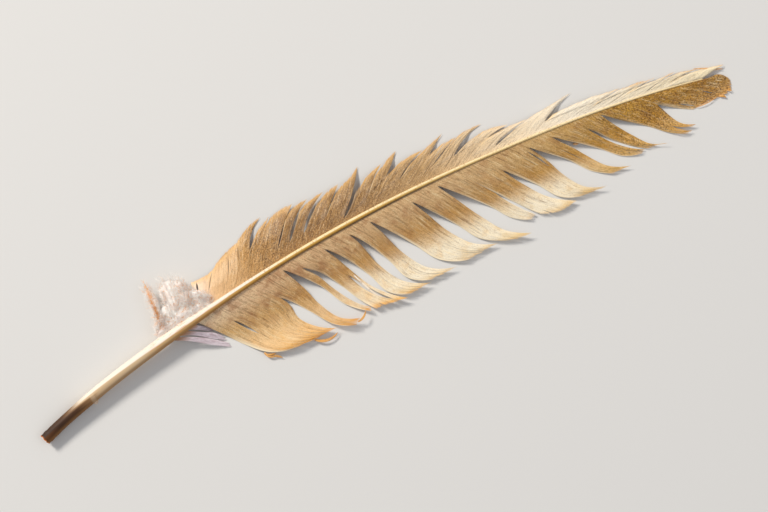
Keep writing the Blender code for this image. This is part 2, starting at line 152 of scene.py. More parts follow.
# Slits inside a lobe: the plan points that each runs between, its width, and whether it stays open
# to the lobe's end.
SLITS = {
    "wide_lobe_01": [((92.3, 7.5), (98.5, -2.5), 1.1, False)],
    "wide_lobe_04": [((144.6, 2), (153.2, -14.5), 1.5, False)],
    "wide_lobe_07": [((166, 9), (176, -6), 0.25, False)],
    "wide_lobe_10": [((216.5, 0), (221.5, -7), 0.3, False)],
    "wide_lobe_11": [((231, 14.8), (238.3, 3.5), 0.75, False), ((228.5, 13), (233.5, 6), 0.3, False)],
    "wide_lobe_12": [((246, 8), (251, 0), 0.3, False)],
    "wide_lobe_15": [((288.6, -1.5), (297.2, -9), 1.7, True)],
    "wide_lobe_16": [((296.5, 3), (303, -1), 0.5, False), ((307, 3.4), (313, -0.2), 0.6, False)],
    "narrow_lobe_01": [((82.2, 23.8), (87.8, 28), 1.0, False)],
    "narrow_lobe_02": [((98.5, 24.5), (102.5, 31), 0.2, False)],
    "narrow_lobe_10": [((157, 28.5), (167, 35), 0.35, True)],
    "narrow_lobe_15": [((203, 28.2), (212, 32), 0.3, True)],
}

# Barbs: how far apart they lie and how much further apart at the tip, how deep in the shaft they
# start, and the size of each as a share of its pitch and in millimetres.
BARB_PITCH, PITCH_GROWS = 0.42, 0.5
BARB_STATIONS = 32
ROOT_INSET = 0.25
ROOT_THICKNESS, END_THICKNESS = 0.40, 0.13
WIDEST_BARB, THINNEST_BARB = 0.75, 0.09
BARB_COVER = 1.2
WIDTH_VARIES = 0.08
TAPER_FROM, TAPER_BY = 0.95, 0.6
RAGGED_VANE, RAGGED_STRAND = 0.012, 0.15  # the most that a barb may fall short, as a share
BROKEN_SHARE, BROKEN_OFF = 0.02, 0.08
# How far barbs stray sideways and in height: together with their neighbours, and each alone.
DRIFT_TOGETHER, DRIFT_ALONE = 0.10, 0.04
LIFT_TOGETHER, LIFT_ALONE = 0.07, 0.03
LOBE_SWELL, SWELL_FROM_EDGE = 0.55, 1.6
EDGE_STATIONS = 240
EDGES_MEET, EDGES_PART = 0.6, 0.95  # gaps between two lobes that count as shut and as open
STRAND_BARBS = 6
STRAND_END_HEIGHT = 0.32
SLIT_FALLOFF = 1.8  # how far from a slit its push on the barbs fades
FINE_SLITS = 1
FINE_SLIT_STARTS, FINE_SLIT_WIDTHS = (0.5, 0.85), (0.08, 0.22)
FINE_SLIT_END = 1.1  # past the lobe's end, so that the slit isn't fully open there
LEAST_BARBS = 8
FLOOR_GAP = 0.03

# The map for baking: about how many strands lie side by side for each row, how much of its strip
# each fills, and the angle from which an edge is sharp.
MAP_STRANDS_A_ROW = 90
MAP_FILL = 0.9
SHARP_ANGLE = 60


def hermite(points, where):
    """Values at the given stations of a smooth curve through the points (station, value...)."""
    points = np.array(points, float)
    stations, values = points[:, 0], points[:, 1:]
    slopes = np.gradient(values, stations, axis=0, edge_order=min(2, len(points) - 1))
    where = np.asarray(where, float)
    i = np.clip(np.searchsorted(stations, where, side="right") - 1, 0, len(stations) - 2)
    span = (stations[i + 1] - stations[i])[..., None]
    t = (where - stations[i])[..., None] / span
    return (
        (2 * t**3 - 3 * t**2 + 1) * values[i]
        + (t**3 - 2 * t**2 + t) * span * slopes[i]
        + (3 * t**2 - 2 * t**3) * values[i + 1]
        + (t**3 - t**2) * span * slopes[i + 1]
    )


def reach_along(points):
    return np.concatenate([[0], np.cumsum(np.linalg.norm(np.diff(points, axis=0), axis=1))])


def on_line(points, shares):
    """Points at shares of the length of a smooth curve through the given ones."""
    points = np.array(points, float)
    reach = reach_along(points)
    fine = hermite(np.column_stack([reach, points]), np.linspace(0, reach[-1], 24 * len(points)))
    run = reach_along(fine) / reach_along(fine)[-1]
    return np.stack([np.interp(shares, run, fine[:, k]) for k in range(fine.shape[1])], axis=-1)


def smoothstep(t):
    t = np.clip(t, 0, 1)
    return t * t * (3 - 2 * t)


def shaft_y(x):
    return hermite(SHAFT_LINE, x)[..., 0]


def shaft_width(x):
    stations, widths = zip(*SHAFT_WIDTH)
    return np.interp(x, stations, widths)


def shaft_depth(x):
    share = np.clip((x - RACHIS_STARTS) / (RACHIS_IS_DEEPEST - RACHIS_STARTS), 0, 1)
    return shaft_width(x) * (1 + (RACHIS_DEPTH_RATIO - 1) * share)


def shaft_height(x):
    share = np.asarray(x, float) / LENGTH
    return QUILL_HEIGHT + (TIP_HEIGHT - QUILL_HEIGHT) * share + ARCH_RISE * np.sin(math.pi * share)


def root_height(x):
    return shaft_height(x) + BARB_LINE * shaft_depth(x) / 2


def share_out(x, y, margin):
    """How far out from the shaft plan points are, as a share of the way to the vane's margin."""
    start = shaft_y(np.minimum(x, SHAFT_LINE[-1][0]))
    return np.clip((y - start) / (hermite(margin, x)[..., 0] - start), 0, 1)


def wide_height(x, share):
    """Down from the shaft to a belly on the floor, then curling up to the margin."""
    fall = smoothstep(share / BELLY_AT)
    curl = WIDE_CURL * np.clip((share - BELLY_AT) / (1 - BELLY_AT), 0, 1) ** 2
    return root_height(x) * (1 - fall) + BELLY_HEIGHT * fall + curl * (1 - 0.75 * (x / LENGTH) ** 3)


def narrow_height(x, share):
    """A low dome from the shaft to a margin just over the floor."""
    dome = NARROW_DOME * np.sin(math.pi * share) * (1 - 0.6 * x / LENGTH)
    return root_height(x) * (1 - share) + NARROW_EDGE_HEIGHT * share + dome


def strand_height(x, v):
    return root_height(x) * (1 - v) + STRAND_END_HEIGHT * v


def plan_to_frame():
    """What to add to a plan point, in millimetres, so that the shaft lies where the frame has it."""
    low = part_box("shaft")[0] / MM
    quill_side = SHAFT_LINE[0][1] - SHAFT_WIDTH[0][1] / 2
    return np.array([low.x, low.y - quill_side, 0.0])


def root_point(x, side):
    """Where a barb starts, just inside the shaft's side."""
    return np.stack([x, shaft_y(x) + side * (shaft_width(x) / 2 - ROOT_INSET)], axis=-1)


def edge_lines(lobes, side):
    """Each lobe's roots, fine near and far edges, and how open each edge is, from 0 to 1."""
    runs = np.linspace(0, 1, EDGE_STATIONS)
    roots = [[first, last] for first, last, *_ in lobes]
    for before, after in zip(roots, roots[1:]):
        before[1] = after[0] = (before[1] + after[0]) / 2
    nears, fars = (
        [on_line([root_point(np.array(float(ends[k])), side), *lobe[2 + k]], runs)
         for ends, lobe in zip(roots, lobes)]
        for k in (0, 1)
    )
    opened = np.ones((len(lobes), 2, EDGE_STATIONS))
    for i in range(len(lobes) - 1):
        gaps = np.linalg.norm(fars[i][:, None] - nears[i + 1][None], axis=2)
        shut = []
        for axis in (1, 0):
            part = smoothstep((gaps.min(axis=axis) - EDGES_MEET) / (EDGES_PART - EDGES_MEET))
            shut.append(np.minimum.accumulate(1 - part)[:, None])
        to_near = nears[i + 1][gaps.argmin(axis=1)] - fars[i]
        to_far = fars[i][gaps.argmin(axis=0)] - nears[i + 1]
        fars[i], nears[i + 1] = fars[i] + shut[0] * to_near / 2, nears[i + 1] + shut[1] * to_far / 2
        opened[i, 1], opened[i + 1, 0] = 1 - shut[0][:, 0], 1 - shut[1][:, 0]
    return list(zip(roots, nears, fars, opened))


def read_line(line, v):
    runs = np.linspace(0, 1, len(line))
    return np.stack([np.interp(v, runs, line[:, k]) for k in range(line.shape[1])], axis=-1)


class Lobe:
    """A lobe's middle surface: points at shares across it and along it."""

    def __init__(self, edges, rounding, side, height):
        self.roots, self.near, self.far, self.opened = edges
        self.side, self.height = side, height
        self.outer = [self.near[-1], *rounding, self.far[-1]]

    def at(self, u, v):
        near, far = read_line(self.near, v), read_line(self.far, v)
        plan = near + u[..., None] * (far - near)
        start = u[..., None]
        root_x = self.roots[0] + u * (self.roots[1] - self.roots[0])
        root_gap = root_point(root_x, self.side) - (self.near[0] * (1 - start) + self.far[0] * start)
        outer_gap = on_line(self.outer, u) - (self.near[-1] * (1 - start) + self.far[-1] * start)
        plan = plan + (1 - v[..., None]) ** 2 * root_gap + v[..., None] ** 2 * outer_gap
        width = np.linalg.norm(far - near, axis=-1)
        opened = read_line(self.opened.T, v).max(axis=-1)
        swell = LOBE_SWELL * opened * smoothstep(v / 0.3) * smoothstep((1 - v) / 0.25)
        for inward in (u, 1 - u):
            swell = swell * (1 - np.exp(-inward * width / SWELL_FROM_EDGE))
        z = self.height(plan[..., 0], plan[..., 1], v) + swell
        return np.concatenate([plan, z[..., None]], axis=-1)

    def find(self, point):
        """The shares across and along of the place nearest to a plan point."""
        u, v = np.meshgrid(np.linspace(0, 1, 60), np.linspace(0, 1, 120), indexing="ij")
        gap = np.linalg.norm(self.at(u, v)[..., :2] - np.array(point), axis=-1)
        i, j = np.unravel_index(gap.argmin(), gap.shape)
        return u[i, j], v[i, j]


def unit(vectors):
    return vectors / np.maximum(np.linalg.norm(vectors, axis=-1, keepdims=True), 1e-9)


def smooth_noise(rng, count, spread):
    """Random values that change gently from one to the next, about one in size."""
    raw = rng.standard_normal(count + 4 * spread)
    kernel = np.hanning(2 * spread + 1)
    return (np.convolve(raw, kernel / np.linalg.norm(kernel), "same"))[2 * spread : -2 * spread]


def strand_mesh(name, rings, values, finish):
    """Closed strands from rings of points (strands, stations, sides) and values to colour them by.

    The map gives each strand a strip of its own, side by side."""
    strands, stations, sides = rings.shape[:3]
    index = np.arange(strands * stations * sides).reshape(strands, stations, sides)
    beside = np.roll(index, -1, axis=2)
    quads = np.stack([index[:, :-1], beside[:, :-1], beside[:, 1:], index[:, 1:]], axis=-1)
    caps = np.concatenate([index[:, 0, ::-1], index[:, -1]])
    corners = np.concatenate([quads.ravel(), caps.ravel()])
    quad_count = quads.size // 4
    totals = np.concatenate([np.full(quad_count, 4), np.full(len(caps), sides)])

    rows = max(1, round(math.sqrt(strands / MAP_STRANDS_A_ROW)))
    columns = math.ceil(strands / rows)
    column, row = np.arange(strands) % columns, np.arange(strands) // columns
    share = (np.arange(sides + 1) / sides)[None, None] * MAP_FILL + (1 - MAP_FILL) / 2
    u = np.broadcast_to((column[:, None, None] + share) / columns, (strands, stations, sides + 1))
    along = np.linspace(0.01, 0.99, stations)[None, :, None]
    v = np.broadcast_to((row[:, None, None] + along) / rows, u.shape)
    lower, upper = np.stack([u, v], -1)[:, :-1], np.stack([u, v], -1)[:, 1:]
    quad_uv = np.stack(
        [lower[:, :, :-1], lower[:, :, 1:], upper[:, :, 1:], upper[:, :, :-1]], axis=3
    )
    lift = np.where(np.arange(sides) % 2, 0.004, 0.0)[None, :, None] * np.array([0.0, 1.0])
    first_cap = lower[:, 0, :-1][:, ::-1] + lift
    last_cap = upper[:, -1, :-1] - lift
    uv = np.concatenate([quad_uv.reshape(-1, 2), first_cap.reshape(-1, 2), last_cap.reshape(-1, 2)])

    points = rings.reshape(-1, 3)
    quad_points = points[quads.reshape(-1, 4)]
    spread = np.cross(quad_points[:, 1] - quad_points[:, 0], quad_points[:, 3] - quad_points[:, 0])
    outward = quad_points.mean(axis=1) - np.repeat(
        rings.mean(axis=2)[:, :-1].reshape(-1, 3), sides, axis=0
    )
    starts = np.concatenate([[0], np.cumsum(totals)[:-1]])
    if (spread * outward).sum() < 0:
        order = np.repeat(starts + totals - 1, totals) - (
            np.arange(len(corners)) - np.repeat(starts, totals)
        )
        corners, uv = corners[order], uv[order]

    mesh = bpy.data.meshes.new(name)
    mesh.vertices.add(len(points))
    mesh.vertices.foreach_set("co", ((points + PLAN_SHIFT) * MM).astype(np.float32).ravel())
    mesh.loops.add(len(corners))
    mesh.loops.foreach_set("vertex_index", corners.astype(np.int32))
    mesh.polygons.add(len(totals))
    mesh.polygons.foreach_set("loop_start", starts.astype(np.int32))
    mesh.polygons.foreach_set("loop_total", totals.astype(np.int32))
    mesh.update(calc_edges=True)
    layer = mesh.uv_layers.new(name="OFBake")
    layer.uv.foreach_set("vector", uv.astype(np.float32).ravel())
    for key, value in values.items():
        attribute = mesh.attributes.new(key, "FLOAT", "POINT")
        spread_out = np.repeat(value.astype(np.float32).reshape(-1), sides)
        attribute.data.foreach_set("value", spread_out)
    mesh.validate()
    mesh.materials.append(finish)
    mesh.shade_smooth()
    mesh.set_sharp_from_angle(angle=math.radians(SHARP_ANGLE))
    piece = bpy.data.objects.new(name, mesh)
    bpy.context.scene.collection.objects.link(piece)
    return piece


def barb_rings(lobe, count, rng, slits=(), ragged=RAGGED_VANE):
    """The barbs of one lobe, each a flattened strand with a ridge above and below."""
    even = (np.arange(count) + 0.5) / count
    even = 0.5 + (even - 0.5) * (1 + 0.6 / count)
    u = np.repeat(even[:, None], BARB_STATIONS, axis=1)
    s = np.linspace(0, 1, BARB_STATIONS)
    reach = 1 - ragged * rng.random(count) ** 2
    broken = rng.random(count) < BROKEN_SHARE
    reach = np.where(broken, reach - BROKEN_OFF * rng.random(count), reach)
    reach[[0, -1]] = 1
    v = s[None] * reach[:, None]
    step = 0.5 / count
    low, high = np.maximum(u - step, 0), np.minimum(u + step, 1)
    centre = lobe.at(u, v)
    across = (lobe.at(high, v) - lobe.at(low, v)) * (2 * step / (high - low))[..., None]
    along = unit(np.gradient(centre, axis=1))
    across = across - (across * along).sum(-1, keepdims=True) * along
    pitch = np.linalg.norm(across, axis=-1)
    across = unit(across)
    up = np.cross(along, across)
    up = up * np.sign(up[..., 2:3])

    drift = smooth_noise(rng, count, 4) * DRIFT_TOGETHER + rng.standard_normal(count) * DRIFT_ALONE
    centre = centre + across * (drift[:, None] * v**1.5)[..., None]
    lift = smooth_noise(rng, count, 3) * LIFT_TOGETHER + rng.standard_normal(count) * LIFT_ALONE
    centre = centre + up * (lift[:, None] * smoothstep(v / 0.3))[..., None]
    for at_u, start, end, width, runs_out in slits:
        share = (v - start) / (end - start)
        opened = smoothstep(share) if runs_out else np.sin(math.pi * np.clip(share, 0, 1)) ** 0.7
        away = (u - at_u) * pitch * count
        fading = np.exp(-np.abs(away) / SLIT_FALLOFF)
        push = np.where(away > 0, 0.5, -0.5) * width * opened * fading
        centre = centre + across * push[..., None]

    taper = 1 - TAPER_BY * smoothstep((s[None] - TAPER_FROM) / (1 - TAPER_FROM))
    width = np.clip(pitch * BARB_COVER, THINNEST_BARB, WIDEST_BARB) * taper
    width = width * (1 + WIDTH_VARIES * rng.standard_normal(count))[:, None]
    thick = (ROOT_THICKNESS + (END_THICKNESS - ROOT_THICKNESS) * smoothstep(v / 0.8)) * taper
    thick = np.minimum(thick, width * 0.6)
    half_w, half_t = (across * width[..., None] / 2), (up * thick[..., None] / 2)
    rings = np.stack([centre - half_w, centre + half_t, centre + half_w, centre - half_t], axis=2)
    tone = np.repeat(rng.random(count)[:, None], BARB_STATIONS, axis=1)
    return rings, {"along": v, "across": u, "tone": tone}


def keep_over_floor(rings):
    rings[..., 2] = np.maximum(rings[..., 2], FLOOR_GAP)
    return rings


def ride_for(piece, node=None):
    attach(piece, "root")
    if node:
        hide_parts(node)


def make_vane(prefix, lobes, side, margin, height, finish, rng):
    def over_floor(x, y, v):
        return height(x, share_out(x, y, margin))

    for number, (edges, outline) in enumerate(zip(edge_lines(lobes, side), lobes), 1):
        name = f"{prefix}_lobe_{number:02d}"
        lobe = Lobe(edges, outline[4], side, over_floor)
        first, last = lobe.roots
        pitch = BARB_PITCH * (1 + PITCH_GROWS * (first + last) / 2 / LENGTH)
        slits = []
        for start, end, width, runs_out in SLITS.get(name, []):
            (u_start, v_start), (u_end, v_end) = lobe.find(start), lobe.find(end)
            slits.append(((u_start + u_end) / 2, v_start, v_end, width, runs_out))
        for start in rng.uniform(*FINE_SLIT_STARTS, FINE_SLITS):
            at_u = rng.uniform(0.1, 0.9)
            slits.append((at_u, start, FINE_SLIT_END, rng.uniform(*FINE_SLIT_WIDTHS), True))
        widest = np.linalg.norm(lobe.far - lobe.near, axis=1)[: EDGE_STATIONS * 4 // 5].max()
        count = max(LEAST_BARBS, round(max(last - first, widest) / pitch))
        rings, values = barb_rings(lobe, count, rng, slits)
        middle = rings.mean(axis=2)
        values["share"] = share_out(middle[..., 0], middle[..., 1], margin)
        piece = strand_mesh(name + "_barbs", keep_over_floor(rings), values, finish)
        ride_for(piece, name)


def make_strands(finish, rng):
    for number, outline in enumerate(BASE_STRANDS, 1):
        edges = edge_lines([outline], -1)[0]
        lobe = Lobe(edges, (), -1, lambda x, y, v: strand_height(x, v))
        rings, values = barb_rings(lobe, STRAND_BARBS, rng, ragged=RAGGED_STRAND)
        piece = strand_mesh(f"base_strand_{number}_barbs", keep_over_floor(rings), values, finish)
        ride_for(piece, f"base_strand_{number}")


class Nodes:
    """Short names for the shader nodes that the finishes are made of."""

    def __init__(self, name, roughness, **plain):
        self.material = bpy.data.materials.new(name)
        self.material.use_nodes = True
        self.tree = self.material.node_tree
        self.shader = self.tree.nodes["Principled BSDF"]
        self.shader.inputs["Roughness"].default_value = roughness
        for socket, value in plain.items():
            self.shader.inputs[socket.replace("_", " ")].default_value = value

    def new(self, kind, inputs=None, **settings):
        node = self.tree.nodes.new("ShaderNode" + kind)
        for key, value in settings.items():
            setattr(node, key, value)
        for key, value in (inputs or {}).items():
            if isinstance(value, bpy.types.NodeSocket):
                self.tree.links.new(value, node.inputs[key])
            else:
                node.inputs[key].default_value = value
        return node

    def value(self, name):
        return self.new("Attribute", attribute_name=name).outputs["Fac"]

    def place(self):
        """The position in millimetres, as a vector, and its x in the plan."""
        where = self.new("TexCoord").outputs["Object"]
        scaled = self.new("VectorMath", {0: where, 1: (1000.0,) * 3}, operation="MULTIPLY")
        parts = self.new("SeparateXYZ", {0: scaled.outputs[0]})
        x = self.maths("SUBTRACT", parts.outputs[0], float(PLAN_SHIFT[0]))
        return scaled.outputs[0], x

    def maths(self, operation, a, b=0.0, c=0.0):
        return self.new("Math", {0: a, 1: b, 2: c}, operation=operation).outputs[0]

    def product(self, *factors):
        made = factors[0]
        for factor in factors[1:]:
            made = self.maths("MULTIPLY", made, factor)
        return made

    def band(self, value, low, high, to_low=0.0, to_high=1.0):
        """A smooth rise of value from low to high."""
        node = self.new(
            "MapRange",
            {"Value": value, "From Min": low, "From Max": high, "To Min": to_low, "To Max": to_high},
            interpolation_type="SMOOTHSTEP",
        )
        return node.outputs["Result"]

    def noise(self, vector, scale, detail=3.0, rough=0.6):
        node = self.new(
            "TexNoise", {"Vector": vector, "Scale": scale, "Detail": detail, "Roughness": rough}
        )
        return node.outputs["Fac"]

    def vector(self, x, y, z=0.0):
        return self.new("CombineXYZ", {0: x, 1: y, 2: z}).outputs[0]

    def ramp(self, value, stops):
        """Colours along value, each given as it looks on screen, from 0 to 255."""
        node = self.new("ValToRGB", {"Fac": value})
        ramp = node.color_ramp
        while len(ramp.elements) < len(stops):
            ramp.elements.new(0.5)
        for element, (at, colour) in zip(ramp.elements, stops):
            element.position = at
            element.color = (*linear(*colour), 1)
        return node.outputs["Color"]

    def mix(self, share, a, b):
        """A mix of two colours, each a socket or a colour as it looks on screen."""
        def colour(value):
            return (*linear(*value), 1) if isinstance(value, tuple) else value

        inputs = {0: share, 6: colour(a), 7: colour(b)}
        return self.new("Mix", inputs, data_type="RGBA", clamp_factor=True).outputs[2]

    def finish(self, colour):
        self.tree.links.new(colour, self.shader.inputs["Base Color"])
        return self.material


def linear(red, green, blue):
    """A colour given as it looks on screen, from 0 to 255, in the shader's linear light."""
    def one(value):
        value /= 255
        return value / 12.92 if value <= 0.04045 else ((value + 0.055) / 1.055) ** 2.4

    return one(red), one(green), one(blue)


class VaneNodes(Nodes):
    """The values that both sides of the vane are coloured by."""

    def __init__(self, name, roughness, **plain):
        super().__init__(name, roughness, **plain)
        where, self.x = self.place()
        self.along, self.across = self.value("along"), self.value("across")
        self.share, self.tone = self.value("share"), self.value("tone")
        run = self.maths("MULTIPLY", self.along, 5.0)
        barb = self.maths("MULTIPLY", self.tone, 90.0)
        self.streak = self.noise(self.vector(run, barb), 1.0, 3.0)
        wide_run = self.maths("MULTIPLY", self.along, 2.2)
        clump = self.maths("MULTIPLY_ADD", self.x, 0.02, self.maths("MULTIPLY", self.across, 11.0))
        self.clump = self.noise(self.vector(wide_run, clump), 1.0, 4.0, 0.7)
        self.patch = self.noise(where, 0.22, 3.0)
        self.fleck = self.noise(where, 2.0, 2.0, 0.7)
        self.fine = self.noise(where, 3.6, 1.0, 0.5)

    def grain(self, colour, dark, light, amount):
        """Barb by barb streaks and fine speckle over a colour."""
        for value, low, high, share, shade in (
            (self.clump, 0.5, 0.68, 1.0, dark), (self.clump, 0.48, 0.32, 1.0, light),
            (self.streak, 0.52, 0.72, 1.0, dark), (self.streak, 0.46, 0.3, 1.0, light),
            (self.fine, 0.52, 0.66, 0.8, dark), (self.fine, 0.46, 0.34, 0.6, light),
        ):
            covered = self.product(self.band(value, low, high), amount, share)
            colour = self.mix(covered, colour, shade)
        return colour


def wide_vane():
    nodes = VaneNodes("wide_vane", 0.42, Sheen_Weight=0.3, Sheen_Roughness=0.35)
    nodes.shader.inputs["Sheen Tint"].default_value = (*linear(255, 236, 200), 1)
    at = nodes.maths("DIVIDE", nodes.x, LENGTH)
    band, mix, product = nodes.band, nodes.mix, nodes.product
    inner = nodes.ramp(
        at,
        [(0.26, (250, 222, 184)), (0.35, (234, 192, 146)), (0.47, (228, 188, 138)),
         (0.62, (228, 190, 138)), (0.75, (216, 176, 112)), (0.86, (210, 158, 50)),
         (0.97, (192, 138, 34))],
    )
    middle = nodes.ramp(
        at,
        [(0.28, (234, 184, 112)), (0.4, (226, 170, 88)), (0.55, (220, 164, 82)),
         (0.7, (214, 158, 70)), (0.84, (222, 162, 44)), (0.97, (204, 144, 32))],
    )
    outer = nodes.ramp(
        at,
        [(0.3, (242, 178, 76)), (0.42, (238, 170, 60)), (0.52, (240, 196, 112)),
         (0.65, (240, 204, 134)), (0.78, (230, 188, 104)), (0.9, (228, 170, 52)),
         (0.98, (230, 160, 36))],
    )
    colour = mix(band(nodes.share, 0.1, 0.5), inner, middle)
    colour = mix(band(nodes.share, 0.55, 0.95), colour, outer)
    # Painted highlight: the belly and curl of the wide vane are painted paler, as where they catch the
    # key light.
    belly = product(
        band(nodes.share, 0.4, 0.74), band(nodes.share, 1.02, 0.84),
        band(nodes.x, 118.0, 165.0, 0.3, 1.0), band(nodes.x, 262.0, 236.0, 0.12, 1.0),
        band(nodes.patch, 0.25, 0.55, 0.55, 1.0),
    )
    colour = mix(belly, colour, (255, 242, 214))
    colour = nodes.grain(colour, (124, 80, 32), (252, 226, 176),
                         band(nodes.share, 0.9, 0.45, 0.35, 0.6))
    worn = product(band(nodes.patch, 0.45, 0.7), band(nodes.share, 0.7, 0.3, 0.0, 1.0),
                   band(nodes.x, 235.0, 120.0, 0.25, 0.55))
    colour = mix(worn, colour, (166, 104, 54))
    # Painted shadow: a thin dark line on the wide vane along the shaft, where the shaft's shadow
    # falls.
    painted_shaft_shadow = product(band(nodes.share, 0.05, 0.02), band(nodes.x, 215.0, 160.0, 0.1, 0.9))
    colour = mix(painted_shaft_shadow, colour, (52, 32, 16))
    specks = product(band(nodes.fleck, 0.5, 0.6), band(nodes.x, 240.0, 278.0, 0.0, 0.9),
                     band(nodes.share, 0.98, 0.7, 0.45, 1.0))
    colour = mix(specks, colour, (96, 58, 16))
    # Painted highlight: a thin pale line along each lobe's near edge, where the edge catches the
    # light.
    rim = product(band(nodes.across, 0.1, 0.0), band(nodes.along, 0.2, 0.5),
                  band(nodes.x, 285.0, 230.0, 0.5, 0.9))
    colour = mix(rim, colour, (255, 236, 200))
    tips = product(band(nodes.along, 0.9, 1.0), band(nodes.x, 185.0, 145.0, 0.15, 0.8))
    colour = mix(tips, colour, (236, 164, 52))
    return nodes.finish(colour)


def narrow_vane():
    nodes = VaneNodes("narrow_vane", 0.48, Sheen_Weight=0.2, Sheen_Roughness=0.4)
    nodes.shader.inputs["Sheen Tint"].default_value = (*linear(255, 236, 205), 1)
    at = nodes.maths("DIVIDE", nodes.x, LENGTH)
    band, mix, product = nodes.band, nodes.mix, nodes.product
    colour = nodes.ramp(
        at,
        [(0.255, (252, 232, 214)), (0.285, (238, 196, 146)), (0.34, (216, 164, 94)),
         (0.4, (184, 134, 68)), (0.5, (182, 136, 74)), (0.6, (206, 166, 110)),
         (0.7, (250, 226, 188)), (0.8, (255, 244, 222)), (0.97, (255, 238, 200))],
    )
    grained = product(band(nodes.x, 245.0, 190.0, 0.25, 0.6), band(nodes.x, 90.0, 108.0, 0.3, 1.0))
    colour = nodes.grain(colour, (96, 60, 28), (244, 212, 166), grained)
    edge = product(band(nodes.along, 0.8, 1.0), band(nodes.x, 240.0, 200.0, 0.2, 0.6))
    colour = mix(edge, colour, (240, 186, 108))
    dark = product(band(nodes.fleck, 0.47, 0.58), band(nodes.x, 98.0, 120.0, 0.1, 0.7),
                   band(nodes.x, 205.0, 155.0, 0.14, 1.0), band(nodes.along, 0.98, 0.7, 0.25, 1.0))
    colour = mix(dark, colour, (100, 64, 28))
    gold = product(band(nodes.share, 0.72, 0.95), band(nodes.x, 255.0, 285.0),
                   band(nodes.fleck, 0.4, 0.55))
    colour = mix(gold, colour, (232, 166, 60))
    # Painted highlight: a thin pale line along each lobe's near edge, where the edge catches the
    # light.
    rim = product(band(nodes.across, 0.16, 0.0), band(nodes.along, 0.5, 0.8),
                  band(nodes.x, 110.0, 130.0, 0.3, 0.8))
    colour = mix(rim, colour, (248, 214, 158))
    return nodes.finish(colour)


def pale_barbs():
    nodes = Nodes("pale_strands", 0.5, Sheen_Weight=0.2)
    along = nodes.value("along")
    streak = nodes.noise(
        nodes.vector(nodes.maths("MULTIPLY", along, 5.0),
                     nodes.maths("MULTIPLY", nodes.value("tone"), 40.0)), 1.0
    )
    colour = nodes.mix(nodes.band(streak, 0.3, 0.7), (242, 228, 232), (202, 178, 182))
    root = nodes.band(along, 0.35, 0.0)
    return nodes.finish(nodes.mix(root, colour, (186, 134, 88)))


def soft_down():
    nodes = Nodes("down", 0.85, Sheen_Weight=0.3)
    where = nodes.place()[0]
    patch = nodes.noise(where, 0.5, 3.0)
    colour = nodes.mix(nodes.band(patch, 0.35, 0.65), (255, 252, 246), (250, 236, 226))
    specks = nodes.band(nodes.noise(where, 0.9, 3.0, 0.6), 0.6, 0.68, 0.0, 0.75)
    colour = nodes.mix(specks, colour, (236, 176, 104))
    amber = nodes.band(nodes.value("tone"), 0.9, 0.95)
    return nodes.finish(nodes.mix(amber, colour, (248, 168, 36)))


def loose_barbs():
    nodes = Nodes("loose_barbs", 0.45, Sheen_Weight=0.2)
    colour = nodes.mix(nodes.value("tone"), (240, 168, 56), (255, 242, 222))
    dark = nodes.noise(nodes.place()[0], 0.9, 2.0)
    return nodes.finish(nodes.mix(nodes.band(dark, 0.5, 0.7, 0.0, 0.4), colour, (150, 92, 30)))


